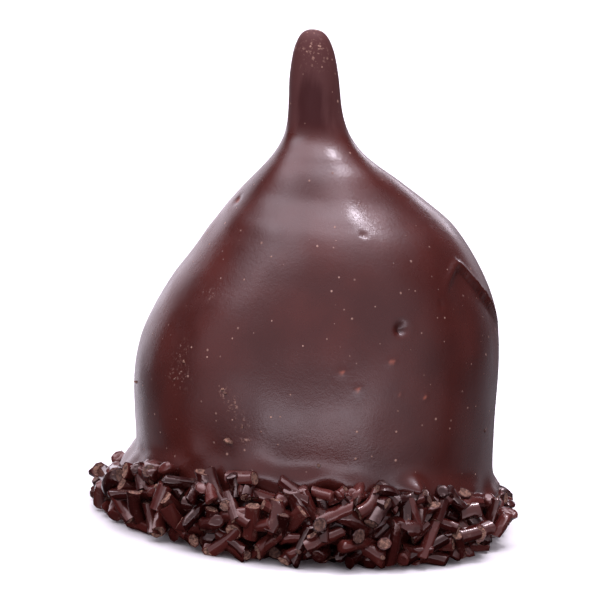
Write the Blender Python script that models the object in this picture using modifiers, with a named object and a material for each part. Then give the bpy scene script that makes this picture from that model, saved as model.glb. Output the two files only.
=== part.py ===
"""A chocolate-covered cherry that stands on a foot of chocolate vermicelli.

The coat is one turned form: a foot, a drum-shaped belly, a shoulder that draws in to a neck, and
the coated stem. It leans a little, and swells to one side at the shoulder. Strands of vermicelli
lie round the foot as a collar, and under it as a sole, and the strands that show are fused with
the coat. The underside lies on z = 0, and the foot's middle is the origin.
"""

import math
import random

import bmesh
import bpy
import numpy as np
from mathutils import Matrix, Vector
from mathutils.geometry import interpolate_bezier

MM = 0.001
NAME = "chocolate_cherry"

# Driving sizes of the coat.
BELLY_RADIUS = 13.85 * MM
HEIGHT = 38.2 * MM
BRIM, BRIM_TOP = 1.080, 0.085

# The coat's outline from the tip down to the sole, as shares of the belly's radius and of the height.
OUTLINE = (
    (0.000, 1.000),  # the stem's tip
    (0.088, 0.974),
    (0.136, 0.895),  # the stem's side
    (0.170, 0.800),  # the stem's root
    (0.240, 0.750),
    (0.378, 0.704),  # the neck's hollow
    (0.668, 0.600),
    (0.886, 0.476),  # the shoulder
    (0.982, 0.384),
    (1.009, 0.280),  # the belly
    (0.990, 0.150),  # the waist
    (1.012, 0.110),
    (BRIM, BRIM_TOP),  # the foot's brim, inside the vermicelli
    (BRIM, 0.040),
    (0.990, 0.018),  # the sole's edge
    (0.000, 0.018),
)
OUTLINE_STEPS = 2
TURN_STEPS = 40

# How the coat departs from a turned form.
LEAN = math.radians(5.0)
LEAN_START = 1.15 * MM
LEAN_FROM, LEAN_FULL = 1.5 * MM, 5.0 * MM
SWELL = 2.0 * MM
SWELL_HEIGHT = 22.6 * MM
SWELL_BELOW, SWELL_ABOVE = 5.6 * MM, 3.8 * MM

# The vermicelli, as they lie in the collar and in the sole.
SEED = 17
STRAND_RADIUS = (0.46 * MM, 0.64 * MM)
STRAND_LENGTH = (1.6 * MM, 4.8 * MM)
COLLAR_STRANDS = 260
SOLE_STRANDS = 170
COLLAR_RADIUS = 16.65 * MM
COLLAR_LIP = 14.9 * MM
COLLAR_SHOULDER = 0.6
COLLAR_SIDE = 3.0 * MM
COLLAR_RISE_FRONT, COLLAR_RISE_BACK = 3.2 * MM, 1.4 * MM
COLLAR_CORE = 14.5 * MM
SOLE_RADIUS = 15.3 * MM
SETTLE_STEPS = 80
PACKING = 0.88

# The strands that are fused with the coat, the largest first.
FUSED_COLLAR = 164
FUSED_SOLE = 46
COLLAR_APART = 0.9 * MM
SOLE_APART = 2.4 * MM
STRAND_SIDES = 4
STRAND_STOUT = 1.15


def clear_scene():
    for old in list(bpy.data.objects):
        bpy.data.objects.remove(old)


def smooth_step(low, high, value):
    share = min(max((value - low) / (high - low), 0.0), 1.0)
    return share * share * (3 - 2 * share)


def outline_points():
    """The outline as a smooth line through its stations, tip first, in metres."""
    stations = [Vector((r * BELLY_RADIUS, z * HEIGHT, 0)) for r, z in OUTLINE]
    pull = [(b - a) / 6 for a, b in zip(stations[:-2], stations[2:])]
    pull = [Vector((stations[1].x / 2, 0, 0)), *pull, Vector()]
    line = []
    for i, (a, b) in enumerate(zip(stations[:-1], stations[1:])):
        line += interpolate_bezier(a, a + pull[i], b - pull[i + 1], b, OUTLINE_STEPS + 1)[:-1]
    return line + [stations[-1]]


def coat_shift(z):
    """How far the coat's middle lies to the side at a height: the lean and the swollen shoulder."""
    lean = (LEAN_START - z * math.tan(LEAN)) * smooth_step(LEAN_FROM, LEAN_FULL, z)
    spread = SWELL_ABOVE if z > SWELL_HEIGHT else SWELL_BELOW
    return lean + SWELL * math.exp(-0.5 * ((z - SWELL_HEIGHT) / spread) ** 2)


def applied(obj):
    """The object's mesh with its modifiers applied."""
    graph = bpy.context.evaluated_depsgraph_get()
    return bpy.data.meshes.new_from_object(obj.evaluated_get(graph))


def make_coat(chocolate):
    """The coat: the outline turned about Z, then leaned and swollen ring by ring."""
    line = outline_points()
    mesh = bpy.data.meshes.new("coat_outline")
    mesh.from_pydata([(p.x, 0, p.y) for p in line], [(i, i + 1) for i in range(len(line) - 1)], [])
    coat = bpy.data.objects.new(NAME, mesh)
    turn = coat.modifiers.new("turn", "SCREW")
    turn.steps = turn.render_steps = TURN_STEPS
    turn.use_merge_vertices = True
    turn.merge_threshold = 0.01 * MM
    bpy.data.collections[NAME].objects.link(coat)
    coat.data = applied(coat)
    coat.modifiers.clear()
    for vertex in coat.data.vertices:
        vertex.co.x += coat_shift(vertex.co.z)
    coat.data.shade_smooth()
    coat.data.materials.append(chocolate)
    return coat


def collar_top(turn):
    """The collar's height at a turn about Z: highest in front, towards -Y, and lowest at the sides."""
    front = -np.sin(turn)
    rise = np.where(front > 0, COLLAR_RISE_FRONT, COLLAR_RISE_BACK)
    return COLLAR_SIDE + rise * np.abs(front) ** 0.75


def collar_reach(turn, z):
    """The collar's outer radius: full up to its shoulder, then drawn in to its lip."""
    top = collar_top(turn)
    above = np.clip((z / top - COLLAR_SHOULDER) / (1 - COLLAR_SHOULDER), 0, 1)
    return COLLAR_RADIUS - (COLLAR_RADIUS - COLLAR_LIP) * above


def turn_in_collar(draw):
    """A turn about Z for one strand of the collar, more often where the collar is high."""
    while True:
        turn = draw.uniform(-math.pi, math.pi)
        if draw.random() * (COLLAR_SIDE + COLLAR_RISE_FRONT) < collar_top(turn):
            return turn


def scatter_strands():
    """Strands strewn evenly round the foot and under it: their ends, radii and which are the sole's."""
    draw = random.Random(SEED)
    ends, radii, in_sole = [], [], []
    for n in range(COLLAR_STRANDS + SOLE_STRANDS):
        radius = draw.uniform(*STRAND_RADIUS)
        half = draw.triangular(*STRAND_LENGTH, STRAND_LENGTH[0] * 1.5) / 2
        sole = n >= COLLAR_STRANDS
        if sole:
            turn = n * math.pi * (3 - math.sqrt(5))
            out = SOLE_RADIUS * math.sqrt((n - COLLAR_STRANDS + 0.5) / SOLE_STRANDS)
            way = draw.uniform(0, math.pi)
            z = radius
            along = Vector((math.cos(way), math.sin(way), 0))
        else:
            turn = turn_in_collar(draw)
            z = radius + draw.random() * (collar_top(turn) - 2 * radius)
            out = collar_reach(turn, z) - radius - draw.random() * 1.2 * MM
            round_about = Vector((-math.sin(turn), math.cos(turn), 0))
            outward = Vector((math.cos(turn), math.sin(turn), 0))
            along = round_about * draw.gauss(0, 1) + outward * draw.gauss(0, 0.6)
            along = (along + Vector((0, 0, draw.gauss(0, 0.55)))).normalized()
        middle = Vector((out * math.cos(turn), out * math.sin(turn), z))
        ends.append([middle - along * half, middle + along * half])
        radii.append(radius)
        in_sole.append(sole)
    return np.array(ends), np.array(radii), np.array(in_sole)


def nearest_shares(p, u, q, v):
    """The shares along the segments p to p + u and q to q + v at which they come closest."""
    w = p - q
    uu, uv, vv = (u * u).sum(1), (u * v).sum(1), (v * v).sum(1)
    uw, vw = (u * w).sum(1), (v * w).sum(1)
    s = np.clip((uv * vw - vv * uw) / np.maximum(uu * vv - uv * uv, 1e-18), 0, 1)
    t = np.clip((uv * s + vw) / vv, 0, 1)
    return np.clip((uv * t - uw) / uu, 0, 1), t


def push_apart(ends, radii, i, j):
    """Moves each pair of strands i and j that lie too close away from each other."""
    s, t = nearest_shares(ends[i, 0], ends[i, 1] - ends[i, 0], ends[j, 0], ends[j, 1] - ends[j, 0])
    s, t = s[:, None], t[:, None]
    gap = ends[i, 0] * (1 - s) + ends[i, 1] * s - ends[j, 0] * (1 - t) - ends[j, 1] * t
    size = np.maximum(np.linalg.norm(gap, axis=1), 1e-9)
    wanted = PACKING * (radii[i] + radii[j])
    push = 0.5 * np.maximum(wanted - size, 0)[:, None] * gap / size[:, None]
    np.add.at(ends[:, 0], i, push * (1 - s))
    np.add.at(ends[:, 1], i, push * s)
    np.add.at(ends[:, 0], j, -push * (1 - t))
    np.add.at(ends[:, 1], j, -push * t)


def hold_in_place(ends, radii, in_sole):
    """Keeps the sole's strands flat on z = 0, and the collar's between the foot and the collar's outside."""
    r = radii[:, None]
    x, y, z = ends[:, :, 0], ends[:, :, 1], ends[:, :, 2]
    turn = np.arctan2(y, x)
    ceiling = np.where(in_sole[:, None], 0.9 * r, collar_top(turn) - r)
    z += 0.5 * (np.clip(z, 0.9 * r, ceiling) - z)
    out = np.hypot(x, y)
    least = np.where(in_sole[:, None], 0, COLLAR_CORE + 0.5 * r)
    most = np.where(in_sole[:, None], SOLE_RADIUS, collar_reach(turn, z) - r)
    held = out + 0.5 * (np.clip(out, np.minimum(least, most), most) - out)
    ends[:, :, :2] *= (held / np.maximum(out, 1e-9))[:, :, None]


def settle(ends, radii, in_sole):
    """Pushes the strands apart and against the foot, so that they lie packed, not through each other."""
    length = np.linalg.norm(ends[:, 1] - ends[:, 0], axis=1)
    first, second = np.triu_indices(len(ends), 1)
    for step in range(SETTLE_STEPS):
        middle = ends.mean(1)
        if step % 10 == 0:
            reach = (length[first] + length[second]) / 2 + 4 * STRAND_RADIUS[1]
            near = np.linalg.norm(middle[first] - middle[second], axis=1) < reach
            i, j = first[near], second[near]
        push_apart(ends, radii, i, j)
        hold_in_place(ends, radii, in_sole)
        middle = ends.mean(1)
        half = ends[:, 1] - middle
        half *= (0.5 * length / np.linalg.norm(half, axis=1))[:, None]
        ends[:, 0], ends[:, 1] = middle - half, middle + half
    return ends


def spread_evenly(order, middle, apart):
    """Strands in the given order, without any that lie closer than this to one already taken."""
    taken = []
    for n in order:
        if all(np.linalg.norm(middle[n] - middle[m]) > apart for m in taken):
            taken.append(n)
    return taken


def strands_to_fuse(ends, radii, in_sole):
    """The largest strands of the sole, and of those in the collar that stand out from the foot."""
    size = radii * np.linalg.norm(ends[:, 1] - ends[:, 0], axis=1)
    order = np.argsort(-size)
    middle = ends.mean(1)
    proud = np.hypot(middle[:, 0], middle[:, 1]) + radii / 2 > BRIM * BELLY_RADIUS
    proud |= middle[:, 2] > BRIM_TOP * HEIGHT
    collar = spread_evenly([n for n in order if proud[n] and not in_sole[n]], middle, COLLAR_APART)
    sole = spread_evenly([n for n in order if in_sole[n]], middle, SOLE_APART)
    return collar[:FUSED_COLLAR] + sole[:FUSED_SOLE]


def make_strand(ends, radius, draw, name):
    """One strand: a four-sided rod that narrows a little, with both ends broken off aslant."""
    start, finish = Vector(ends[0]), Vector(ends[1])
    along = finish - start
    form = bmesh.new()
    bmesh.ops.create_cone(
        form,
        cap_ends=True,
        segments=STRAND_SIDES,
        radius1=radius * STRAND_STOUT,
        radius2=radius * STRAND_STOUT * draw.uniform(0.82, 1.0),
        depth=along.length,
    )
    for corner in form.verts:
        corner.co.z += draw.uniform(-0.25, 0.25) * radius
    roll = Matrix.Rotation(draw.uniform(0, math.pi), 4, "Z")
    aim = along.to_track_quat("Z", "Y").to_matrix().to_4x4()
    place = Matrix.Translation((start + finish) / 2) @ aim @ roll
    bmesh.ops.transform(form, matrix=place, verts=form.verts)
    bmesh.ops.triangulate(form, faces=form.faces)
    mesh = bpy.data.meshes.new(name)
    form.to_mesh(mesh)
    form.free()
    return bpy.data.objects.new(name, mesh)


def fuse(coat, strands):
    """Joins all the strands to the coat in one union, and removes them."""
    join = coat.modifiers.new("join", "BOOLEAN")
    join.operation = "UNION"
    join.operand_type = "COLLECTION"
    join.collection = strands
    join.solver = "MANIFOLD"
    coat.data = applied(coat)
    coat.modifiers.clear()
    for strand in list(strands.objects):
        bpy.data.objects.remove(strand)


def press_flat(coat, cutters):
    """Takes off what lies under z = 0, where the sole's strands are pressed flat."""
    thick = 4 * MM
    form = bmesh.new()
    bmesh.ops.create_cube(form, size=1, matrix=Matrix.Diagonal((3 * HEIGHT, 3 * HEIGHT, thick, 1)))
    bmesh.ops.translate(form, vec=(0, 0, -thick / 2), verts=form.verts)
    mesh = bpy.data.meshes.new("table")
    form.to_mesh(mesh)
    form.free()
    table = bpy.data.objects.new("table", mesh)
    table.hide_render = True
    cutters.objects.link(table)
    press = coat.modifiers.new("press", "BOOLEAN")
    press.operation = "DIFFERENCE"
    press.object = table
    press.solver = "MANIFOLD"
    coat.data = applied(coat)
    coat.modifiers.clear()
    bpy.data.objects.remove(table)


def keep_largest_shell(mesh):
    """Drops loose scraps and the walls of sealed hollows, so that one closed shell is left."""
    form = bmesh.new()
    form.from_mesh(mesh)
    left, shells = set(form.faces), []
    while left:
        shell, front = set(), [left.pop()]
        while front:
            face = front.pop()
            shell.add(face)
            near = {f for e in face.edges for f in e.link_faces} & left
            left -= near
            front += near
        shells.append(shell)
    largest = max(shells, key=len)
    bmesh.ops.delete(form, geom=[f for f in form.faces if f not in largest], context="FACES")
    form.to_mesh(mesh)
    form.free()


def chocolate_material():
    chocolate = bpy.data.materials.new("dark_chocolate")
    chocolate.use_nodes = True
    shader = chocolate.node_tree.nodes["Principled BSDF"]
    shader.inputs["Base Color"].default_value = (0.075, 0.022, 0.018, 1)
    shader.inputs["Roughness"].default_value = 0.34
    shader.inputs["Metallic"].default_value = 0.0
    chocolate.diffuse_color = (0.075, 0.022, 0.018, 1)
    return chocolate


def new_collection(name):
    collection = bpy.data.collections.new(name)
    bpy.context.scene.collection.children.link(collection)
    return collection


def main():
    clear_scene()
    new_collection(NAME)
    coat = make_coat(chocolate_material())
    ends, radii, in_sole = scatter_strands()
    ends = settle(ends, radii, in_sole)
    vermicelli = new_collection("vermicelli")
    draw = random.Random(SEED + 1)
    for n in strands_to_fuse(ends, radii, in_sole):
        vermicelli.objects.link(make_strand(ends[n], float(radii[n]), draw, f"strand_{n}"))
    fuse(coat, vermicelli)
    press_flat(coat, new_collection("cutters"))
    keep_largest_shell(coat.data)


main()
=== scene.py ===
"""The looks of a chocolate-covered cherry on a foot of chocolate vermicelli.

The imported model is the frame. Three pieces stand for its one node: the coat, which is a turned
form with the marks of dipping in it, the strands of vermicelli, and the crumbs that stick to both.
"""

import math
import random

import bpy
import numpy as np
from mathutils import Matrix, Vector, noise
from mathutils.geometry import interpolate_bezier

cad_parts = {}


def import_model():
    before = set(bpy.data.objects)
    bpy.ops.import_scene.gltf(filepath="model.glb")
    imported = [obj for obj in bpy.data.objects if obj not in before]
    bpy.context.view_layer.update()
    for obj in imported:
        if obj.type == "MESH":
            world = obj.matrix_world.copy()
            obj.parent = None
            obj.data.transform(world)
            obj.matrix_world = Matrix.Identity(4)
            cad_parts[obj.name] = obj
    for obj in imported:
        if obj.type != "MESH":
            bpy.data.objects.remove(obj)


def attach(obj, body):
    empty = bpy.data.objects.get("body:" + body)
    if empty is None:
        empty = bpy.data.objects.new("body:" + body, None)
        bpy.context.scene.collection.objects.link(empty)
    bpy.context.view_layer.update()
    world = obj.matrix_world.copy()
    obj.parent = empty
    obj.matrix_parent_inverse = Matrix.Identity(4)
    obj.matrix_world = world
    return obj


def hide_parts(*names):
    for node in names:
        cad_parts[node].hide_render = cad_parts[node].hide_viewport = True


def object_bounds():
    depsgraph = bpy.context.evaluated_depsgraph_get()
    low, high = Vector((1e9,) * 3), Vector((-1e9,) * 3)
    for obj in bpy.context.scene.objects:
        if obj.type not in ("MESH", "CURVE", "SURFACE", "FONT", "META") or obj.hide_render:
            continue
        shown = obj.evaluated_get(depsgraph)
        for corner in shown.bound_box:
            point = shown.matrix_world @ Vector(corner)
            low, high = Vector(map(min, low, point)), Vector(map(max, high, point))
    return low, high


MM = 0.001
NODE = "chocolate_cherry"

# The coat's driving sizes, and its outline, tip first, as shares of the belly's radius and the height.
BELLY_RADIUS = 13.85 * MM
HEIGHT = 38.2 * MM
BRIM, BRIM_TOP = 1.035, 0.085
OUTLINE = (
    (0.000, 0.9965),
    (0.062, 0.9895),
    (0.096, 0.970),
    (0.119, 0.943),
    (0.137, 0.895),
    (0.144, 0.850),
    (0.166, 0.800),
    (0.240, 0.750),
    (0.382, 0.704),
    (0.588, 0.641),
    (0.688, 0.600),
    (0.892, 0.476),
    (0.982, 0.384),
    (1.020, 0.280),
    (0.998, 0.150),
    (1.005, 0.110),
    (BRIM, BRIM_TOP),
    (BRIM, 0.050),
    (0.960, 0.024),
    (0.600, 0.022),
    (0.000, 0.022),
)
OUTLINE_STEPS = 2
COAT_STEPS = 39
COAT_LEVELS = 3

# How the coat departs from a turned form.
LEAN = math.radians(5.0)
LEAN_START = 1.15 * MM
LEAN_FROM, LEAN_FULL = 1.5 * MM, 5.0 * MM
SWELL = 2.0 * MM
SWELL_HEIGHT = 22.6 * MM
SWELL_BELOW, SWELL_ABOVE = 5.6 * MM, 3.8 * MM
FRONT_SWELL = 0.7 * MM
BELLY_SHIFT = 0.12 * MM
NECK_HEIGHT, NECK_FILL = 28.4 * MM, 0.55 * MM
NECK_BELOW, NECK_ABOVE = 2.8 * MM, 1.4 * MM
NECK_FORWARD = 0.58 * MM
NECK_FOOT, NECK_CROWN = 25.4 * MM, 28.1 * MM
CROWN_RISE = 0.16 * MM
CROWN_TOP, CROWN_FOOT, CROWN_FADE = 26.1 * MM, 24.6 * MM, 15.0 * MM
BELLY_SHIFT_HEIGHT, BELLY_SHIFT_REACH = 10 * MM, 5 * MM
FRONT_SWELL_REACH = 4.5 * MM

# How deep or high the marks on the coat are.
CHIP_DEPTH = 0.16 * MM
PIT_RIM, PIT_RIM_OUTER, PIT_RIM_INNER = 0.25, 2.0, 1.3
SKIRT_ROLL, SKIRT_HEIGHT = 0.42 * MM, 0.85 * MM
STRAND_BULGE, MOST_BULGE = 0.35 * MM, 0.5 * MM
BROAD_WAVE, FINE_WAVE, RUN_WAVE = 0.15 * MM, 0.018 * MM, 0.022 * MM

# The vermicelli, as they lie in the collar and in the sole.
SEED = 17
STRAND_RADIUS = (0.46 * MM, 0.64 * MM)
STRAND_LENGTH = (1.6 * MM, 4.8 * MM)
COLLAR_STRANDS = 260
SOLE_STRANDS = 170
COLLAR_RADIUS = 16.65 * MM
COLLAR_LIP = 14.9 * MM
COLLAR_SHOULDER = 0.6
COLLAR_SIDE = 3.0 * MM
COLLAR_RISE_FRONT, COLLAR_RISE_BACK = 3.2 * MM, 1.4 * MM
COLLAR_CORE = 14.5 * MM
SOLE_RADIUS = 15.3 * MM
SETTLE_STEPS = 80
PACKING = 0.88
LOOSE_STRANDS = 70

# Where the collar lies lower: its middle and width as turns in degrees, and its depth in mm.
COLLAR_DIPS = (
    (150, 32, 2.5),
    (5, 30, 0.7),
    (-160, 20, 0.4),
    (-86, 9, 0.8),
    (-57, 6, 0.5),
)

# The kinds of strand, by which of their ends are broken: -1 is the lower end and 1 the upper.
STRAND_SIDES = 9
BROKEN_ENDS = ((), (1,), (-1, 1), (1,), (-1,), (-1, 1), (), (1,), (-1,), (-1, 1))

# Painted shade: the stalk is painted darker down its front, the side towards the camera, standing in for
# a dark reflection there.
STALK_SHADE_TURN, STALK_SHADE_WIDTH = -92.0, 40.0
STALK_SHADE_TOP, STALK_SHADE_FADE = 36.6 * MM, 4 * MM

# Marks of dipping on the coat: where (turn in degrees, height in mm), how wide (mm), how high (mm).
BLISTERS = (
    (-83.4, 14.6, 0.26, 0.06),
    (-77.6, 13.4, 0.26, 0.06),
    (-67.5, 15.5, 0.30, 0.06),
    (-54.1, 12.8, 0.22, 0.06),
    (-63.7, 13.1, 0.18, 0.04),
    (64.0, 15.2, 0.28, 0.06),
    (118.0, 19.5, 0.24, 0.05),
    (150.0, 12.0, 0.26, 0.06),
    (21.0, 11.6, 0.22, 0.05),
)
PITS = (
    (-65.2, 17.9, 0.40, -0.55),
    (-76.6, 24.2, 0.24, -0.14),
    (-46.7, 19.5, 0.17, -0.16),
    (-127.6, 11.3, 0.14, -0.12),
    (92.0, 20.5, 0.34, -0.40),
    (35.0, 16.0, 0.20, -0.15),
)
SOFT_BUMPS = (
    (-80.5, 25.7, 1.6, 0.12),
    (-46.0, 27.8, 1.2, 0.12),
    (-100.0, 22.0, 3.0, 0.10),
    (-57.5, 6.0, 0.60, 0.95),
    (-86.0, 5.4, 0.85, -0.50),
    (-129.0, 6.6, 1.2, 0.22),
    (-108.0, 6.8, 1.3, 0.20),
    (60.0, 6.0, 1.3, 0.35),
    (110.0, 5.6, 1.1, 0.40),
    (160.0, 5.0, 1.3, 0.30),
    (75.0, 22.5, 2.5, 0.12),
    (180.0, 16.4, 2.1, -0.20),
    (180.0, 21.9, 1.6, 0.14),
    (0.0, 23.4, 1.4, -0.13),
    (0.0, 27.2, 1.9, 0.18),
)
# Chips and dust: where, and how wide (mm).
CHIPS = ((-164.0, 24.9, 0.46), (138.0, 17.0, 0.26))
DUST = (
    (-138.0, 12.4, 0.9),
    (-140.5, 14.2, 0.6),
    (-119.0, 11.9, 0.45),
    (-115.5, 11.2, 0.5),
    (-112.5, 9.8, 0.5),
    (-111.0, 8.6, 0.4),
    (-139.7, 18.5, 0.4),
    (-90.0, 36.6, 1.0),
    (40.0, 14.0, 0.8),
    (125.0, 10.0, 0.9),
)

# Crumbs on the coat: where, and their radius (mm).
CRUMBS_ON_COAT = (
    (-117.3, 8.4, 0.34),
    (-118.9, 11.9, 0.16),
    (-120.5, 12.3, 0.12),
    (-138.0, 13.4, 0.13),
    (-139.5, 12.0, 0.10),
    (-112.0, 9.6, 0.11),
    (-88.0, 7.6, 0.13),
    (-20.0, 9.0, 0.14),
    (30.0, 8.0, 0.30),
    (84.0, 9.5, 0.22),
    (101.0, 12.6, 0.12),
    (155.0, 8.8, 0.28),
    (-170.0, 10.0, 0.16),
)
CRUMBS_AMONG_STRANDS = 40

# The fold at the shoulder: its crest, as turns in degrees and heights in mm.
FOLD_TURNS = (-50.0, -41.0, -34.0, -28.0, -24.2, -21.2, -15.9, -10.9, -4.0, 4.0)
FOLD_HEIGHTS = (19.0, 20.5, 21.35, 21.75, 21.35, 20.65, 19.6, 18.65, 17.2, 15.6)
FOLD_RISES, FOLD_FADES_FROM = (-46.0, -30.0), -12.0
FOLD_DEPTH = 0.26 * MM
FOLD_REACH = 8.0 * MM
CREST_RISE, CREST_ABOVE, CREST_WIDTH = 0.24 * MM, 0.20 * MM, 0.26 * MM

# Colours, as linear red, green and blue.
COAT_DARK, COAT_WARM = (0.058, 0.0100, 0.0074, 1), (0.080, 0.0145, 0.0105, 1)
BLISTER_BROWN = (0.36, 0.105, 0.065, 1)
# The stalk's brown, and the darker brown that gives it random tone and painted shade down its front.
STALK_BROWN, STALK_SHADE_AND_TONE = (0.096, 0.036, 0.034, 1), (0.050, 0.0125, 0.0125, 1)
COAT_DUST, COAT_FLECK = (0.42, 0.25, 0.19, 1), (0.018, 0.004, 0.004, 1)
STRAND_DARK, STRAND_WARM = (0.025, 0.0034, 0.0030, 1), (0.088, 0.0165, 0.0132, 1)
STRAND_DUST = (0.17, 0.095, 0.075, 1)
BROKEN_DARK, BROKEN_PALE = (0.040, 0.0110, 0.008, 1), (0.40, 0.215, 0.150, 1)
TABLE_PALE, MAT_DARK = (0.86, 0.86, 0.86, 1), (0.01, 0.01, 0.01, 1)
ROOM_TINT, BACKGROUND_WHITE = (1.0, 0.925, 1.05, 1), (1, 1, 1, 1)

# The room's lights: strength, the turns and the rises between which they lie (degrees, with turn 0
# on the camera's side), and how soft their edges are in turn and in rise. A bound beyond the sphere
# leaves that side open.
OVERHEAD = (
    (4.2, -100, -25, 64, 200, 12, 6),
    (4.2, 126, 188, 52, 200, 8, 8),
    (110.0, 120, 129, 66, 75, 3, 3),
    (10.0, 117, 134, 65, 84, 5, 3),
)
WINDOW = (
    (4.2, -116, -68, 33, 200, 8, 9),
    (3.0, -116, -47, 38, 200, 16, 9),
    (2.0, -110, -30, 44, 200, 14, 10),
)
ROOM = (
    (0.80, -92, 25, 4, 70, 10, 8),
    (0.80, 0, 78, -90, 70, 28, 10),
    (0.70, -80, 25, -90, 20, 10, 8),
    (1.6, -58, 56, -14, 7, 10, 7),
    (4.0, -36, 40, -18, -1, 8, 6),
)
BACKDROP = (
    (1.6, -400, -138, -8, 50, 5, 5),
    (1.15, -400, -149, -90, 10, 8, 8),
    (0.3, -400, -118, -90, -12, 8, 4),
    (0.25, 105, 400, -90, -6, 8, 4),
    (0.80, 147, 400, -3, 16, 7, 6),
    (6.0, 157, 168, 7, 12, 4, 3),
)
DARKEST = 0.09
SKY_FROM, SKY_CURVE, SKY_LIGHT = 26.0, 2.1, 6.6

# The camera: its rise above the table and its tip to one side, how far off it stands, the width
# that it frames, and where it looks, as a shift to the side and a share of the height.
CAMERA_RISE, CAMERA_TIP = math.radians(12), math.radians(5)
CAMERA_AWAY, CAMERA_SPAN = 0.4, 46.0 * MM
AIM_ASIDE, AIM_SHARE = -1.45 * MM, 0.444


def start_clean():
    """Leaves nothing selected, so that an operator acts on the new primitive alone."""
    bpy.ops.object.select_all(action="DESELECT")


def apply_all(piece):
    """Applies a piece's modifiers in their order."""
    start_clean()
    piece.select_set(True)
    bpy.context.view_layer.objects.active = piece
    for modifier in list(piece.modifiers):
        bpy.ops.object.modifier_apply(modifier=modifier.name)


def smooth_step(low, high, value):
    """Goes smoothly from 0 to 1 as value goes from low to high. High may be the lower of the two."""
    share = np.clip((value - low) / (high - low), 0.0, 1.0)
    return share * share * (3 - 2 * share)


# ---------------------------------------------------------------- the coat


def outline_points():
    """The outline as a smooth line through its stations, tip first, in metres."""
    stations = [Vector((r * BELLY_RADIUS, 0, z * HEIGHT)) for r, z in OUTLINE]
    pull = [(b - a) / 6 for a, b in zip(stations[:-2], stations[2:])]
    pull = [Vector((stations[1].x / 2, 0, 0)), *pull, Vector()]
    line = []
    for i, (a, b) in enumerate(zip(stations[:-1], stations[1:])):
        line += interpolate_bezier(a, a + pull[i], b - pull[i + 1], b, OUTLINE_STEPS + 1)[:-1]
    return line + [stations[-1]]


def coat_shift(z):
    """How far the coat's middle lies to the side at a height: the lean and the swollen shoulder."""
    lean = (LEAN_START - z * math.tan(LEAN)) * smooth_step(LEAN_FROM, LEAN_FULL, z)
    spread = np.where(z > SWELL_HEIGHT, SWELL_ABOVE, SWELL_BELOW)
    return lean + SWELL * np.exp(-0.5 * ((z - SWELL_HEIGHT) / spread) ** 2)


def turn_coat():
    """The coat as a closed turned form, smooth and dense, before it is leaned and marked."""
    line = outline_points()
    start_clean()
    bpy.ops.mesh.primitive_plane_add(size=1 * MM, location=line[0])
    coat = bpy.context.object
    coat.name = "coat"
    bpy.ops.object.transform_apply()
    bpy.ops.object.mode_set(mode="EDIT")
    bpy.ops.mesh.select_all(action="SELECT")
    bpy.ops.mesh.merge(type="CENTER")
    for a, b in zip(line[:-1], line[1:]):
        bpy.ops.mesh.extrude_vertices_move(TRANSFORM_OT_translate={"value": b - a})
    bpy.ops.mesh.select_all(action="SELECT")
    bpy.ops.mesh.spin(
        steps=COAT_STEPS, angle=2 * math.pi, center=(0, 0, 0), axis=(0, 0, 1), use_auto_merge=False
    )
    bpy.ops.mesh.select_all(action="SELECT")
    bpy.ops.mesh.remove_doubles(threshold=0.002 * MM)
    bpy.ops.mesh.normals_make_consistent(inside=False)
    bpy.ops.object.mode_set(mode="OBJECT")
    smooth = coat.modifiers.new("smooth", "SUBSURF")
    smooth.levels = smooth.render_levels = COAT_LEVELS
    apply_all(coat)
    return coat


def points_of(mesh):
    """The mesh's points, one in a row."""
    points = np.empty(len(mesh.vertices) * 3)
    mesh.vertices.foreach_get("co", points)
    return points.reshape(-1, 3)


def outward_of(mesh):
    """The outward direction at each of the mesh's points."""
    outward = np.empty(len(mesh.vertices) * 3)
    mesh.vertex_normals.foreach_get("vector", outward)
    return outward.reshape(-1, 3)


def spot(points, turn_deg, z_mm, size_mm):
    """How near each point lies to a spot on the coat's outside: 1 in its middle, fading to 0."""
    turn, z = math.radians(turn_deg), z_mm * MM
    ring = np.abs(points[:, 2] - z) < 0.3 * MM
    radius = np.hypot(points[ring, 0], points[ring, 1]).max()
    middle = np.array((radius * math.cos(turn), radius * math.sin(turn), z))
    away = np.linalg.norm(points - middle, axis=1)
    return np.exp(-((away / (size_mm * MM)) ** 2))


def fold_relief(turn, z):
    """The fold at the shoulder: a crisp crest, with the surface below it sunk and rising again."""
    crest = np.interp(np.degrees(turn), FOLD_TURNS, np.array(FOLD_HEIGHTS) * MM)
    above = z - crest
    share = smooth_step(*FOLD_RISES, np.degrees(turn))
    share *= 1 - smooth_step(FOLD_FADES_FROM, FOLD_TURNS[-1], np.degrees(turn))
    below = np.exp(-((np.minimum(above, 0) / FOLD_REACH) ** 2))
    sunk = smooth_step(0.10 * MM, -0.16 * MM, above) * below
    crisp = np.exp(-(((above - CREST_ABOVE) / CREST_WIDTH) ** 2))
    return share * (CREST_RISE * crisp - FOLD_DEPTH * sunk)


def skirt_relief(turn, z):
    """The coat's lower edge, which rolls out over the topmost strands in uneven waves."""
    edge = collar_top(turn) + 0.1 * MM
    wave = 0.5 + 0.3 * np.sin(7 * turn + 0.8) + 0.2 * np.sin(13 * turn + 2.1)
    wave = wave + 0.15 * np.sin(23 * turn)
    roll = np.exp(-(((z - edge) / SKIRT_HEIGHT) ** 2))
    return SKIRT_ROLL * wave * roll


def strand_relief(points, ends, radii):
    """Where the coat has run over strands that touch it."""
    relief = np.zeros(len(points))
    low = (points[:, 2] > 2.5 * MM) & (points[:, 2] < 8 * MM)
    near = points[low]
    for (a, b), radius in zip(ends, radii):
        if max(a[2], b[2]) < 3.4 * MM or np.hypot(*((a + b) / 2)[:2]) > 15.3 * MM:
            continue
        along = b - a
        share = np.clip(((near - a) @ along) / (along @ along), 0, 1)
        away = np.linalg.norm(near - a - share[:, None] * along, axis=1)
        relief[low] += STRAND_BULGE * np.exp(-((away / (1.5 * radius)) ** 2))
    return np.minimum(relief, MOST_BULGE)


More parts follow.
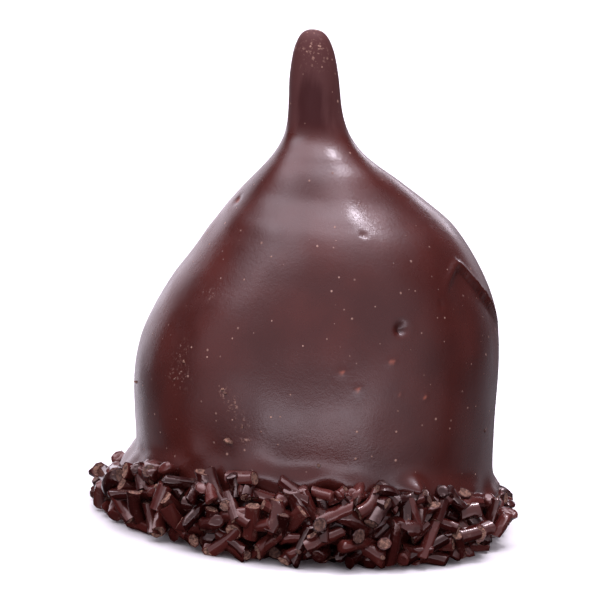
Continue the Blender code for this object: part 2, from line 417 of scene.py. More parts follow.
def uneven_relief(points):
    """The unevenness of a coat that has run down and set: broad waves, fine ones and long runs."""
    broad = np.array([noise.noise(Vector(p) / (7 * MM)) for p in points])
    fine = np.array([noise.noise(Vector(p) / (2.2 * MM)) for p in points])
    runs = [noise.noise(Vector((p[0] / 2.6, p[1] / 2.6, p[2] / 13)) / MM) for p in points]
    fade = smooth_step(0.6 * MM, 6 * MM, np.hypot(points[:, 0], points[:, 1]))
    waves = BROAD_WAVE * broad + FINE_WAVE * fine + RUN_WAVE * np.array(runs)
    return waves * (0.3 + 0.7 * fade)


def dipped_relief(points, turn, ends, radii):
    """How far each point of the turned coat stands out: all the marks that dipping leaves."""
    z = points[:, 2]
    relief = fold_relief(turn, z)
    outside = np.hypot(points[:, 0], points[:, 1]) > 0.9 * BELLY_RADIUS
    relief += np.where(outside, skirt_relief(turn, z), 0)
    for turn_deg, height, size, rise in BLISTERS + PITS + SOFT_BUMPS:
        relief += rise * MM * spot(points, turn_deg, height, size)
    for turn_deg, height, size, rise in PITS:
        rim = spot(points, turn_deg, height, PIT_RIM_OUTER * size)
        rim -= spot(points, turn_deg, height, PIT_RIM_INNER * size)
        relief -= PIT_RIM * rise * MM * rim
    for turn_deg, height, size in CHIPS:
        relief -= CHIP_DEPTH * spot(points, turn_deg, height, size)
    relief += strand_relief(points, ends, radii)
    relief += uneven_relief(points)
    front = np.clip(-np.sin(turn), 0, 1)
    reach = np.where(z > NECK_HEIGHT, NECK_ABOVE, NECK_BELOW)
    relief += NECK_FILL * front**0.7 * np.exp(-(((z - NECK_HEIGHT) / reach) ** 2))
    crown = smooth_step(CROWN_TOP, CROWN_FOOT, z) * smooth_step(CROWN_FADE, CROWN_FOOT, z)
    return relief + CROWN_RISE * front**5 * crown


def lean_coat(points, turn):
    """Leans the coat, swells its shoulder and brings its neck forward, in place."""
    z = points[:, 2]
    front = np.clip(-np.sin(turn), 0, 1)
    belly = np.exp(-(((z - BELLY_SHIFT_HEIGHT) / BELLY_SHIFT_REACH) ** 2))
    points[:, 0] += coat_shift(z) - BELLY_SHIFT * belly
    shoulder = np.exp(-(((z - SWELL_HEIGHT) / FRONT_SWELL_REACH) ** 2))
    points[:, 1] -= FRONT_SWELL * shoulder * (0.5 + 0.5 * front)
    points[:, 1] -= NECK_FORWARD * smooth_step(NECK_FOOT, NECK_CROWN, z)


def strongest(points, spots):
    """The strongest spot at each point, of some given as turn, height, width and strength."""
    shares = np.zeros(len(points))
    for turn_deg, height, size, strength in spots:
        shares = np.maximum(shares, strength * spot(points, turn_deg, height, size))
    return shares


def keep_values(mesh, name, values):
    """Stores a value at each of the mesh's points, for its material to read."""
    mesh.attributes.new(name, "FLOAT", "POINT").data.foreach_set("value", values)


def shape_coat(coat, ends, radii):
    """Works the marks of dipping into the turned coat, leans it, and stores where its tone changes and
    where shade is painted down the stalk.
    """
    mesh = coat.data
    points = points_of(mesh)
    turn = np.arctan2(points[:, 1], points[:, 0])
    relief = dipped_relief(points, turn, ends, radii)
    tinted = [(t, height, 0.8 * size, 0.85) for t, height, size, _ in BLISTERS]
    tinted += [(t, height, 0.9 * size, 0.6) for t, height, size in CHIPS]
    tint = strongest(points, tinted)
    dust = strongest(points, [(t, height, size, 1.0) for t, height, size in DUST])
    points += outward_of(mesh) * relief[:, None]
    lean_coat(points, turn)
    mesh.vertices.foreach_set("co", points.ravel())
    # Painted shade: a share, highest down the stalk's front towards the camera, that darkens the stalk
    # there in place of a dark reflection.
    facing = (np.degrees(turn) - STALK_SHADE_TURN + 180) % 360 - 180
    painted_stalk_shade = np.exp(-((facing / STALK_SHADE_WIDTH) ** 2))
    painted_stalk_shade = painted_stalk_shade * smooth_step(STALK_SHADE_TOP, STALK_SHADE_TOP - STALK_SHADE_FADE, points[:, 2])
    keep_values(mesh, "tint", tint)
    keep_values(mesh, "dust", dust)
    keep_values(mesh, "painted_stalk_shade", painted_stalk_shade)
    mesh.update()
    mesh.shade_smooth()


# ---------------------------------------------------------------- how the strands lie


def collar_top(turn):
    """The collar's height at a turn about Z: highest in front, towards -Y, lowest at the sides."""
    front = -np.sin(turn)
    rise = np.where(front > 0, COLLAR_RISE_FRONT, COLLAR_RISE_BACK)
    return COLLAR_SIDE + rise * np.abs(front) ** 0.75


def collar_reach(turn, z):
    """The collar's outer radius: full up to its shoulder, then drawn in to its lip."""
    top = collar_top(turn)
    above = np.clip((z / top - COLLAR_SHOULDER) / (1 - COLLAR_SHOULDER), 0, 1)
    return COLLAR_RADIUS - (COLLAR_RADIUS - COLLAR_LIP) * above


def turn_in_collar(draw):
    """A turn about Z for one strand of the collar, more often where the collar is high."""
    while True:
        turn = draw.uniform(-math.pi, math.pi)
        if draw.random() * (COLLAR_SIDE + COLLAR_RISE_FRONT) < collar_top(turn):
            return turn


def scatter_strands():
    """Strands strewn round the foot and under it: their ends, radii and which are the sole's."""
    draw = random.Random(SEED)
    ends, radii, in_sole = [], [], []
    for n in range(COLLAR_STRANDS + SOLE_STRANDS):
        radius = draw.uniform(*STRAND_RADIUS)
        half = draw.triangular(*STRAND_LENGTH, STRAND_LENGTH[0] * 1.5) / 2
        sole = n >= COLLAR_STRANDS
        if sole:
            turn = n * math.pi * (3 - math.sqrt(5))
            out = SOLE_RADIUS * math.sqrt((n - COLLAR_STRANDS + 0.5) / SOLE_STRANDS)
            way = draw.uniform(0, math.pi)
            z = radius
            along = Vector((math.cos(way), math.sin(way), 0))
        else:
            turn = turn_in_collar(draw)
            z = radius + draw.random() * (collar_top(turn) - 2 * radius)
            out = collar_reach(turn, z) - radius - draw.random() * 1.2 * MM
            round_about = Vector((-math.sin(turn), math.cos(turn), 0))
            outward = Vector((math.cos(turn), math.sin(turn), 0))
            along = round_about * draw.gauss(0, 1) + outward * draw.gauss(0, 0.6)
            along = (along + Vector((0, 0, draw.gauss(0, 0.55)))).normalized()
        middle = Vector((out * math.cos(turn), out * math.sin(turn), z))
        ends.append([middle - along * half, middle + along * half])
        radii.append(radius)
        in_sole.append(sole)
    return np.array(ends), np.array(radii), np.array(in_sole)


def nearest_shares(p, u, q, v):
    """The shares along the segments p to p + u and q to q + v at which they come closest."""
    w = p - q
    uu, uv, vv = (u * u).sum(1), (u * v).sum(1), (v * v).sum(1)
    uw, vw = (u * w).sum(1), (v * w).sum(1)
    s = np.clip((uv * vw - vv * uw) / np.maximum(uu * vv - uv * uv, 1e-18), 0, 1)
    t = np.clip((uv * s + vw) / vv, 0, 1)
    return np.clip((uv * t - uw) / uu, 0, 1), t


def push_apart(ends, radii, i, j):
    """Moves each pair of strands i and j that lie too close away from each other."""
    along_i, along_j = ends[i, 1] - ends[i, 0], ends[j, 1] - ends[j, 0]
    s, t = nearest_shares(ends[i, 0], along_i, ends[j, 0], along_j)
    s, t = s[:, None], t[:, None]
    gap = ends[i, 0] * (1 - s) + ends[i, 1] * s - ends[j, 0] * (1 - t) - ends[j, 1] * t
    size = np.maximum(np.linalg.norm(gap, axis=1), 1e-9)
    wanted = PACKING * (radii[i] + radii[j])
    push = 0.5 * np.maximum(wanted - size, 0)[:, None] * gap / size[:, None]
    np.add.at(ends[:, 0], i, push * (1 - s))
    np.add.at(ends[:, 1], i, push * s)
    np.add.at(ends[:, 0], j, -push * (1 - t))
    np.add.at(ends[:, 1], j, -push * t)


def hold_in_place(ends, radii, in_sole):
    """Keeps the sole's strands flat on z = 0, and the collar's between the foot and its outside."""
    r = radii[:, None]
    x, y, z = ends[:, :, 0], ends[:, :, 1], ends[:, :, 2]
    turn = np.arctan2(y, x)
    ceiling = np.where(in_sole[:, None], 0.9 * r, collar_top(turn) - r)
    z += 0.5 * (np.clip(z, 0.9 * r, ceiling) - z)
    out = np.hypot(x, y)
    least = np.where(in_sole[:, None], 0, COLLAR_CORE + 0.5 * r)
    most = np.where(in_sole[:, None], SOLE_RADIUS, collar_reach(turn, z) - r)
    held = out + 0.5 * (np.clip(out, np.minimum(least, most), most) - out)
    ends[:, :, :2] *= (held / np.maximum(out, 1e-9))[:, :, None]


def settle(ends, radii, in_sole):
    """Pushes the strands apart and against the foot, so that they lie packed side by side."""
    length = np.linalg.norm(ends[:, 1] - ends[:, 0], axis=1)
    first, second = np.triu_indices(len(ends), 1)
    for step in range(SETTLE_STEPS):
        middle = ends.mean(1)
        if step % 10 == 0:
            reach = (length[first] + length[second]) / 2 + 4 * STRAND_RADIUS[1]
            near = np.linalg.norm(middle[first] - middle[second], axis=1) < reach
            i, j = first[near], second[near]
        push_apart(ends, radii, i, j)
        hold_in_place(ends, radii, in_sole)
        middle = ends.mean(1)
        half = ends[:, 1] - middle
        half *= (0.5 * length / np.linalg.norm(half, axis=1))[:, None]
        ends[:, 0], ends[:, 1] = middle - half, middle + half
    return ends


# ---------------------------------------------------------------- the strands


def tumble(ends, radii, in_sole):
    """Turns the strands about their middles, as they stick in the chocolate, and adds loose ones.

    Turned strands run into their neighbours, as they do where the chocolate holds them together.
    """
    draw = random.Random(SEED + 1)
    tumbled, girths = [], []
    for (a, b), radius, sole in zip(ends, radii, in_sole):
        a, b = Vector(a), Vector(b)
        middle, half = (a + b) / 2, (b - a).length / 2
        if not sole:
            half *= draw.uniform(0.72, 1.0)
        aside = Vector([draw.gauss(0, 1) for _ in range(3)]).normalized()
        along = ((b - a).normalized() + aside * (0.25 if sole else 0.95)).normalized()
        tumbled.append(tuck_in(middle, along * half, radius, 0.25 * MM))
        girths.append(radius * draw.uniform(0.90, 1.10))
    for _ in range(LOOSE_STRANDS):
        turn = turn_in_collar(draw)
        radius = draw.uniform(*STRAND_RADIUS)
        out = COLLAR_CORE + draw.uniform(0.1, 1.1) * MM
        z = float(collar_top(turn)) - draw.uniform(-0.1, 0.9) * MM
        along = Vector([draw.gauss(0, 1) for _ in range(3)]).normalized()
        along = along * draw.uniform(0.6, 1.3) * MM
        middle = Vector((out * math.cos(turn), out * math.sin(turn), z))
        tumbled.append(tuck_in(middle, along, radius, 0.4 * MM))
        girths.append(radius)
    return np.array(tumbled), np.array(girths)


def bump_at(turn, centre_deg, width_deg):
    """1 at a turn about Z, fading to 0 on both sides of it."""
    away = (math.degrees(turn) - centre_deg + 180) % 360 - 180
    return math.exp(-((away / width_deg) ** 2))


def tuck_in(middle, reach, radius, over):
    """Moves a strand until neither end stands out much from the collar, and gives its two ends."""
    for _ in range(3):
        for end in (middle - reach, middle + reach):
            turn = math.atan2(end.y, end.x)
            out = math.hypot(end.x, end.y)
            low = 1 - float(smooth_step(0.8 * MM, 2.4 * MM, end.z))
            most = float(collar_reach(turn, end.z)) - 0.6 * radius + over - 0.75 * MM * low
            if out > most:
                middle = middle - Vector((end.x, end.y, 0)) * ((out - most) / out)
            dip = sum(depth * bump_at(turn, centre, width) for centre, width, depth in COLLAR_DIPS)
            top = float(collar_top(turn)) - 0.5 * radius + over - dip * MM
            middle = middle - Vector((0, 0, max(end.z - top, 0)))
            middle = middle + Vector((0, 0, max(0.85 * radius - end.z, 0)))
    return middle - reach, middle + reach


def pick_faces(mesh, wanted):
    """In edit mode, selects the faces for which wanted(face) holds, and no others."""
    bpy.ops.mesh.select_all(action="DESELECT")
    bpy.ops.object.mode_set(mode="OBJECT")
    for face in mesh.polygons:
        face.select = wanted(face)
    bpy.ops.object.mode_set(mode="EDIT")
    bpy.ops.mesh.select_mode(type="FACE")


def model_strand(kind, draw):
    """One strand along Z, of radius 1 and length 1 each way, rounded over or broken at its ends."""
    start_clean()
    bpy.ops.mesh.primitive_cylinder_add(
        vertices=STRAND_SIDES, radius=1, depth=2, location=(0, 0, 0)
    )
    strand = bpy.context.object
    strand.name = f"strand_kind_{kind}"
    mesh = strand.data
    bpy.ops.object.mode_set(mode="EDIT")
    bpy.ops.mesh.select_mode(type="EDGE")
    bpy.ops.mesh.select_all(action="DESELECT")
    bpy.ops.object.mode_set(mode="OBJECT")
    for edge in mesh.edges:
        low, high = (mesh.vertices[v].co.z for v in edge.vertices)
        edge.select = abs(high - low) > 1
    bpy.ops.object.mode_set(mode="EDIT")
    bpy.ops.mesh.subdivide(number_cuts=4)
    broken_ends = BROKEN_ENDS[kind]
    for end in (-1, 1):
        pick_faces(mesh, lambda face: face.normal.z * end > 0.9)
        if end in broken_ends:
            rounding, hollow, inner = (0.10, 0.20, 0.0, 0.04), (-0.10, 0.02), 0.36
        else:
            rounding, hollow, inner = (0.18, 0.26, 0.07, 0.12), (-0.02, 0.03), 0.34
        narrow, wide, shallow, deep = rounding
        bpy.ops.mesh.inset(thickness=draw.uniform(narrow, wide), depth=draw.uniform(shallow, deep))
        bpy.ops.mesh.inset(thickness=inner, depth=draw.uniform(*hollow))
        bpy.ops.mesh.poke()
    bpy.ops.object.mode_set(mode="OBJECT")
    for face in mesh.polygons:
        end = 1 if face.center.z > 0 else -1
        inner = math.hypot(face.center.x, face.center.y) < 0.72
        face.material_index = int(end in broken_ends and inner and abs(face.center.z) > 0.8)
    rough_up(mesh, kind, draw)
    start_clean()
    strand.select_set(True)
    bpy.context.view_layer.objects.active = strand
    bpy.ops.object.shade_smooth_by_angle(angle=math.radians(46 if broken_ends else 62))
    return strand


def rough_up(mesh, kind, draw):
    """Makes a strand bent, waisted, creased and ragged at its broken ends."""
    wave, crease = draw.uniform(0, 6), draw.uniform(0.0, 0.14)
    bend, way = draw.choice((0.05, 0.12, 0.2, 0.5)), draw.uniform(0, math.pi)
    flat = draw.choice((0.0, 0.0, 0.1, 0.2))
    tilt = [draw.uniform(-0.28, 0.28) for _ in range(4)]
    for vertex in mesh.vertices:
        x, y, z = vertex.co
        turn = math.atan2(y, x)
        rough = noise.noise(Vector((x, y, 2.2 * z + 7 * kind)) * 1.1)
        girth = 1 + 0.12 * rough - crease * max(math.cos(turn - wave), 0) ** 6
        girth *= 1 + 0.06 * math.cos(2 * turn + wave)
        upper, lower = tilt[0] * x + tilt[1] * y, tilt[2] * x + tilt[3] * y
        share = max(z, 0) * upper + min(z, 0) * lower
        curve = bend * (z * z - 0.4)
        ragged = 0.07 * noise.noise(Vector((3.1 * x, 3.1 * y, kind + 5 * z))) * (abs(z) > 0.9)
        vertex.co = (
            x * girth + curve * math.cos(way),
            y * girth * (1 - flat) + curve * math.sin(way),
            z + 0.7 * share + ragged,
        )


def give_tone(bit, draw):
    """Gives a strand or a crumb a tone of its own, for its material to read."""
    keep_values(bit.data, "tone", [draw.random()] * len(bit.data.vertices))


def join_bits(bits, name):
    """Joins strands or crumbs as one piece, with nothing of it below the table."""
    start_clean()
    for bit in bits:
        bit.select_set(True)
    bpy.context.view_layer.objects.active = bits[0]
    bpy.ops.object.join()
    piece = bits[0]
    piece.name = name
    points = points_of(piece.data)
    points[:, 2] = np.maximum(points[:, 2], 0)
    piece.data.vertices.foreach_set("co", points.ravel())
    piece.data.update()
    return piece


def lay_strands(ends, radii, materials):
    """Every strand in its place, each a copy of one of the kinds, joined as one piece."""
    draw = random.Random(SEED + 2)
    kinds = [model_strand(kind, draw) for kind in range(len(BROKEN_ENDS))]
    for kind in kinds:
        for material in materials:
            kind.data.materials.append(material)
    copies = []
    for n, (pair, radius) in enumerate(zip(ends, radii)):
        start, finish = Vector(pair[0]), Vector(pair[1])
        along = finish - start
        kind = draw.choice(kinds)
        copy = kind.copy()
        copy.data = kind.data.copy()
        copy.name = f"strand_{n}"
        bpy.context.scene.collection.objects.link(copy)
        roll = Matrix.Rotation(draw.uniform(0, 2 * math.pi), 4, "Z")
        aim = along.to_track_quat("Z", "Y").to_matrix().to_4x4()
        breadth = radius * draw.uniform(0.85, 1.05)
        size = Matrix.Diagonal((radius * 1.05, breadth, along.length / 2, 1))
        flip = Matrix.Rotation(math.pi * draw.choice((0, 1)), 4, "X")
        place = Matrix.Translation((start + finish) / 2)
        copy.data.transform(place @ aim @ roll @ size @ flip)
        give_tone(copy, draw)
        copies.append(copy)
    vermicelli = join_bits(copies, "vermicelli")
    for kind in kinds:
        bpy.data.objects.remove(kind)
    return vermicelli


# ---------------------------------------------------------------- crumbs


def crumb_places(coat, ends, radii, draw):
    """Where each crumb lies and its radius: those on the coat, then those among the strands."""
    places = []
    outside = points_of(coat.data)
    for turn_deg, height, size in CRUMBS_ON_COAT:
        turn, z = math.radians(turn_deg), height * MM
        x = BELLY_RADIUS * math.cos(turn) + float(coat_shift(z))
        middle = Vector((x, BELLY_RADIUS * math.sin(turn), z))
        nearest = np.argmin(np.linalg.norm(outside - np.array(middle), axis=1))
        places.append((Vector(outside[nearest]), size * MM))
    for n in draw.sample(range(COLLAR_STRANDS), CRUMBS_AMONG_STRANDS):
        a, b = Vector(ends[n][0]), Vector(ends[n][1])
        on_strand = a.lerp(b, draw.random())
        out = Vector((on_strand.x, on_strand.y, 0)).normalized()
        place = on_strand + out * radii[n] * draw.uniform(0.5, 0.9)
        place = place + Vector((0, 0, draw.uniform(0, 0.5) * radii[n]))
        places.append((place, draw.uniform(0.10, 0.24) * MM))
    return places


def model_crumb(n, place, size, draw):
    """One crumb: a small ball, squashed and made uneven about its own middle."""
    start_clean()
    bpy.ops.mesh.primitive_ico_sphere_add(subdivisions=2, radius=size, location=place)
    crumb = bpy.context.object
    crumb.name = f"crumb_{n}"
    bpy.ops.object.transform_apply()
    stretch = Vector((draw.uniform(0.5, 1.3), draw.uniform(0.5, 1.3), draw.uniform(0.4, 1.2)))
    for vertex in crumb.data.vertices:
        away = vertex.co - place
        grain = 1 + 0.45 * noise.noise(away / size * 1.1 + Vector((n, 0, 0)))
        vertex.co = place + away * stretch * grain
    return crumb


def lay_crumbs(coat, ends, radii, material):
    """Crumbs of broken strands on the coat's lower part and among the strands, as one piece."""
    draw = random.Random(SEED + 3)
    crumbs = []
    for n, (place, size) in enumerate(crumb_places(coat, ends, radii, draw)):
        crumb = model_crumb(n, place, size, draw)
        crumb.data.materials.append(material)
        give_tone(crumb, draw)
        crumbs.append(crumb)
    return join_bits(crumbs, "crumbs")


# ---------------------------------------------------------------- finishes


class Nodes:
    """A node tree to build in: each call adds a node, sets its values and links its inputs."""

    def __init__(self, tree):
        """Starts with the tree emptied."""
        self.tree = tree
        self.tree.nodes.clear()

    def add(self, kind, settings=(), **inputs):
        """A node of this kind. An input goes by its name, with _ for a space, or by i and its number."""
        node = self.tree.nodes.new(kind)
        for name, value in dict(settings).items():
            setattr(node, name, value)
        for name, value in inputs.items():
            key = int(name[1:]) if name[1:].isdigit() else name.replace("_", " ")
            socket = node.inputs[key]
            if isinstance(value, bpy.types.NodeSocket):
                self.tree.links.new(value, socket)
            else:
                socket.default_value = value
        return node

    def math(self, operation, a, b=0.0):
        """One sum, product or other operation on one or two values."""
        return self.add("ShaderNodeMath", {"operation": operation}, i0=a, i1=b).outputs[0]

    def step(self, value, low, high, start=0.0, end=1.0):
        """Goes smoothly from start to end as value goes from low to high."""
        node = self.add(
            "ShaderNodeMapRange",
            {"interpolation_type": "SMOOTHSTEP"},
            i0=value,
            i1=low,
            i2=high,
            i3=start,
            i4=end,
        )
        return node.outputs[0]

    def mix(self, share, a, b):
        """Colour a where share is 0, and colour b where it is 1."""
        node = self.add("ShaderNodeMix", {"data_type": "RGBA"}, i0=share, i6=a, i7=b)
        return node.outputs[2]

    def noise(self, place, scale, detail=3.0, roughness=0.5):
        """Cloudy unevenness, from 0 to 1. A larger scale is finer."""
        node = self.add(
            "ShaderNodeTexNoise", Vector=place, Scale=scale, Detail=detail, Roughness=roughness
        )
        return node.outputs["Fac"]

    def value_of(self, name):
        """A value stored at the mesh's points."""
        return self.add("ShaderNodeAttribute", {"attribute_name": name}).outputs["Fac"]

    def dots(self, place, scale, size, share):
        """Scattered dots: cells of a Voronoi pattern, a share of which hold a dot of this size."""
        cell = self.add("ShaderNodeTexVoronoi", Vector=place, Scale=scale)
        colour = self.add("ShaderNodeSeparateColor", Color=cell.outputs["Color"])
        chosen = self.math("LESS_THAN", colour.outputs[0], share)
        grown = self.math("MULTIPLY", colour.outputs[1], size)
        round_dot = self.step(self.math("DIVIDE", cell.outputs["Distance"], grown), 1.0, 0.6)
        return self.math("MULTIPLY", round_dot, chosen)


def new_material(name):
    """An empty material and its nodes."""
    material = bpy.data.materials.new(name)
    material.use_nodes = True
    return material, Nodes(material.node_tree)


def finish_material(nodes, **inputs):
    """Ends a material in one shader with these inputs."""
    shader = nodes.add("ShaderNodeBsdfPrincipled", **inputs)
    nodes.add("ShaderNodeOutputMaterial", Surface=shader.outputs[0])


def coat_material():
    """Dark chocolate that has set with a soft gloss: uneven in tone, dusted with pale specks, with shade
    painted down the front of the stalk.
    """
    material, nodes = new_material("dipped_chocolate")
    place = nodes.add("ShaderNodeTexCoord").outputs["Object"]
    cloud = nodes.noise(place, 180, 3)
    grain = nodes.noise(place, 3200, 3, 0.6)
    sparkle = nodes.noise(place, 9000, 2, 0.5)
    brown = nodes.mix(nodes.step(cloud, 0.35, 0.7), COAT_DARK, COAT_WARM)
    brown = nodes.mix(nodes.step(nodes.value_of("tint"), 0.1, 0.9), brown, BLISTER_BROWN)
    height = nodes.add("ShaderNodeSeparateXYZ", Vector=place).outputs[2]
    stalk = nodes.step(height, 29.9 * MM, 31.4 * MM)
    # The stalk is darkened by painted shade down its front, mixed with random tone along its length.
    painted_stalk_shade = nodes.value_of("painted_stalk_shade")
    drawn = nodes.add("ShaderNodeMapping", i0=place, i3=(1.0, 1.0, 0.16)).outputs[0]
    uneven = nodes.step(nodes.noise(drawn, 700, 3, 0.55), 0.30, 0.70, -0.3, 0.3)
    shade_and_tone_share = nodes.step(nodes.math("ADD", painted_stalk_shade, uneven), 0.15, 0.95)
    bare = nodes.mix(shade_and_tone_share, STALK_BROWN, STALK_SHADE_AND_TONE)
    brown = nodes.mix(nodes.math("MULTIPLY", stalk, 0.95), brown, bare)
    specks = nodes.dots(place, 1700, 0.21, 0.42)
    larger = nodes.dots(place, 760, 0.12, 0.16)
    tip = nodes.step(height, 33.5 * MM, 36.5 * MM)
    dusted = nodes.math("MULTIPLY", nodes.dots(place, 2900, 0.36, 0.30), tip)
    scraped = nodes.value_of("dust")
    flakes = nodes.step(nodes.noise(place, 3600, 3, 0.7), 0.55, 0.66)
    pale = nodes.math("MAXIMUM", nodes.math("MAXIMUM", specks, larger), dusted)
    pale = nodes.math("MAXIMUM", pale, nodes.math("MULTIPLY", scraped, flakes))
    patchy = nodes.step(nodes.noise(place, 900, 2), 0.35, 0.65, 0.35, 0.95)
    dusty = nodes.mix(nodes.math("MULTIPLY", pale, patchy), brown, COAT_DUST)
    dark = nodes.dots(place, 330, 0.07, 0.14)
    colour = nodes.mix(nodes.math("MULTIPLY", dark, 0.7), dusty, COAT_FLECK)
    raised = nodes.math("MULTIPLY", pale, 1.2)
    relief = nodes.math("ADD", nodes.math("MULTIPLY", grain, 0.8), raised)
    relief = nodes.math("ADD", relief, nodes.math("MULTIPLY", sparkle, 0.6))
    relief = nodes.math("SUBTRACT", relief, nodes.math("MULTIPLY", dark, 1.5))
    bump = nodes.add("ShaderNodeBump", Strength=0.75, Distance=0.017 * MM, Height=relief)
    gloss = nodes.step(nodes.noise(place, 420, 4, 0.65), 0.3, 0.75, 0.22, 0.31)
    gloss = nodes.math("ADD", gloss, nodes.math("MULTIPLY", pale, 0.35))
    gloss = nodes.math("ADD", gloss, nodes.math("MULTIPLY", stalk, 0.24))
    level = nodes.step(stalk, 0.0, 1.0, 0.5, 0.12)
    finish_material(
        nodes,
        Base_Color=colour,
        Roughness=gloss,
        IOR=1.5,
        Specular_IOR_Level=level,
        Normal=bump.outputs[0],
    )
    return material


def strand_material():
    """The extruded side of a strand: nearly black-brown and glossy, here and there dusty."""
    material, nodes = new_material("strand_side")
    place = nodes.add("ShaderNodeTexCoord").outputs["Object"]
    tone = nodes.value_of("tone")
    brown = nodes.mix(nodes.step(tone, 0.1, 0.9), STRAND_DARK, STRAND_WARM)
    dust = nodes.step(nodes.noise(place, 1100, 4, 0.7), 0.55, 0.72)
    dusty = nodes.mix(nodes.math("MULTIPLY", dust, 0.35), brown, STRAND_DUST)
    grain = nodes.noise(place, 1500, 4, 0.5)
    bump = nodes.add("ShaderNodeBump", Strength=0.45, Distance=0.08 * MM, Height=grain)
    gloss = nodes.step(tone, 0.5, 1.0, 0.10, 0.26)
    gloss = nodes.math("ADD", gloss, nodes.math("MULTIPLY", dust, 0.3))
    finish_material(
        nodes,
        Base_Color=dusty,
        Roughness=gloss,
        IOR=1.5,
        Coat_Weight=0.4,
        Coat_Roughness=0.05,
        Specular_Tint=(1.0, 0.74, 0.68, 1),
        Normal=bump.outputs[0],
    )
    return material


def broken_material():
    """Freshly broken chocolate: matt, granular and lighter than the skin."""
    material, nodes = new_material("broken_end")
    place = nodes.add("ShaderNodeTexCoord").outputs["Object"]
    grain = nodes.noise(place, 4600, 5, 0.75)
    bare = nodes.step(nodes.value_of("tone"), 0.0, 0.5, 0.3, 1.0)
    share = nodes.math("MULTIPLY", nodes.step(grain, 0.40, 0.62, 0.10, 1.0), bare)
    colour = nodes.mix(share, BROKEN_DARK, BROKEN_PALE)
    bump = nodes.add("ShaderNodeBump", Strength=1.0, Distance=0.16 * MM, Height=grain)
    gloss = nodes.step(bare, 0.2, 0.8, 0.34, 0.70)
    finish_material(
        nodes, Base_Color=colour, Roughness=gloss, IOR=1.45, Normal=bump.outputs[0]
    )
    return material


# ---------------------------------------------------------------- studio


def light_zone(nodes, turn, rise, zone):
    """Light that fills a stretch of turns and of rises, with soft edges."""
    light, left, right, low, high, soft_turn, soft_rise = zone
    share = nodes.step(turn, left - soft_turn, left + soft_turn)
    share = nodes.math(
        "MULTIPLY", share, nodes.step(turn, right + soft_turn, right - soft_turn)
    )
    share = nodes.math("MULTIPLY", share, nodes.step(rise, low - soft_rise, low + soft_rise))
    share = nodes.math("MULTIPLY", share, nodes.step(rise, high + soft_rise, high - soft_rise))
    return nodes.math("MULTIPLY", share, light)


def light_room():
    """Soft light all round: a softbox and a small strong lamp overhead, a window and pale cards.

    Where the camera looks past the sweet, it sees plain white that gives no light.
    """
    world = bpy.data.worlds.new("studio")
    bpy.context.scene.world = world
    world.use_nodes = True
    nodes = Nodes(world.node_tree)
    way = nodes.add("ShaderNodeTexCoord").outputs["Generated"]
    x, y, z = nodes.add("ShaderNodeSeparateXYZ", Vector=way).outputs
    turn = nodes.math("ARCTAN2", x, nodes.math("MULTIPLY", y, -1.0))
    turn = nodes.math("DEGREES", turn)
    rise = nodes.math("DEGREES", nodes.math("ARCSINE", z))
    above = nodes.math("DIVIDE", nodes.math("SUBTRACT", rise, SKY_FROM), 90.0 - SKY_FROM)
    above = nodes.math("POWER", nodes.math("MAXIMUM", above, 0.0), SKY_CURVE)
    light = nodes.math("MAXIMUM", DARKEST, nodes.math("MULTIPLY", above, SKY_LIGHT))
    for zone in OVERHEAD + WINDOW + ROOM + BACKDROP:
        light = nodes.math("MAXIMUM", light, light_zone(nodes, turn, rise, zone))
    seen = nodes.add("ShaderNodeLightPath").outputs["Is Camera Ray"]
    sky = nodes.add("ShaderNodeBackground", Color=ROOM_TINT, Strength=light)
    white = nodes.add("ShaderNodeBackground", Color=BACKGROUND_WHITE, Strength=1.0)
    both = nodes.add("ShaderNodeMixShader", i0=seen, i1=sky.outputs[0], i2=white.outputs[0])
    nodes.add("ShaderNodeOutputWorld", Surface=both.outputs[0])


def lay_floor():
    """A pale table that takes the shadow.

    It is left out of reflections and bounced light, where the room's lower half stands for it.
    """
    start_clean()
    bpy.ops.mesh.primitive_plane_add(size=4, location=(0, 0, -0.02 * MM))
    floor = bpy.context.object
    floor.name = "floor"
    material, nodes = new_material("pale_table")
    finish_material(nodes, Base_Color=TABLE_PALE, Roughness=0.8)
    floor.data.materials.append(material)
    floor.visible_glossy = False
    floor.visible_diffuse = False


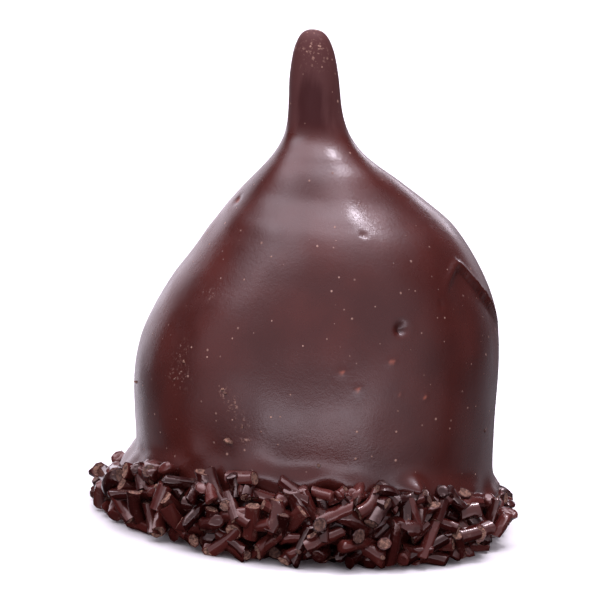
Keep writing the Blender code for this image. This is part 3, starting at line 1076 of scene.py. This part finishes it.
def lay_dark_mat():
    """A dark round mat that only reflections see, for the shaded table close round the foot.

    It is dark near the foot and in front, and clear further out and behind.
    """
    start_clean()
    bpy.ops.mesh.primitive_circle_add(
        vertices=64, radius=60 * MM, fill_type="NGON", location=(0, 0, -0.05 * MM)
    )
    mat = bpy.context.object
    mat.name = "dark_mat"
    material, nodes = new_material("dark_mat")
    place = nodes.add("ShaderNodeTexCoord").outputs["Object"]
    away = nodes.add("ShaderNodeVectorMath", {"operation": "LENGTH"}, i0=place).outputs["Value"]
    behind = nodes.add("ShaderNodeSeparateXYZ", Vector=place).outputs[1]
    share = nodes.math(
        "MAXIMUM", nodes.step(away, 33 * MM, 44 * MM), nodes.step(behind, -9 * MM, 2 * MM)
    )
    dark = nodes.add("ShaderNodeBsdfDiffuse", Color=MAT_DARK)
    clear = nodes.add("ShaderNodeBsdfTransparent")
    both = nodes.add("ShaderNodeMixShader", i0=share, i1=dark.outputs[0], i2=clear.outputs[0])
    nodes.add("ShaderNodeOutputMaterial", Surface=both.outputs[0])
    mat.data.materials.append(material)
    mat.visible_camera = False
    mat.visible_diffuse = False
    mat.visible_transmission = False
    mat.visible_shadow = False


def set_camera(box):
    """A long lens, twelve degrees above the table, tipped five degrees to one side."""
    low, high = Vector(box[0]), Vector(box[1])
    aim = Vector((AIM_ASIDE, 0, low.z + AIM_SHARE * (high.z - low.z)))
    back = Vector((0, -math.cos(CAMERA_RISE), math.sin(CAMERA_RISE)))
    camera = bpy.data.objects.new("camera", bpy.data.cameras.new("camera"))
    bpy.context.scene.collection.objects.link(camera)
    place = Matrix.Translation(aim + back * CAMERA_AWAY)
    look = Matrix.Rotation(math.pi / 2 - CAMERA_RISE, 4, "X")
    camera.matrix_world = place @ look @ Matrix.Rotation(CAMERA_TIP, 4, "Z")
    camera.data.sensor_width = 36
    camera.data.lens = camera.data.sensor_width * CAMERA_AWAY / CAMERA_SPAN
    bpy.context.scene.camera = camera


def main():
    """Dresses the frame with its three pieces, and sets the stage, the light and the camera."""
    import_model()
    cad_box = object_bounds()
    set_camera(cad_box)
    light_room()
    bpy.context.scene.view_settings.view_transform = "Standard"
    ends, radii, in_sole = scatter_strands()
    ends = settle(ends, radii, in_sole)
    coat = turn_coat()
    shape_coat(coat, ends[~in_sole], radii[~in_sole])
    coat.data.materials.append(coat_material())
    broken = broken_material()
    ends, radii = tumble(ends, radii, in_sole)
    vermicelli = lay_strands(ends, radii, (strand_material(), broken))
    crumbs = lay_crumbs(coat, ends, radii, broken)
    for piece in (coat, vermicelli, crumbs):
        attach(piece, "root")
    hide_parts(NODE)
    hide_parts(NODE)
    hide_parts(NODE)
    lay_floor()
    lay_dark_mat()


main()
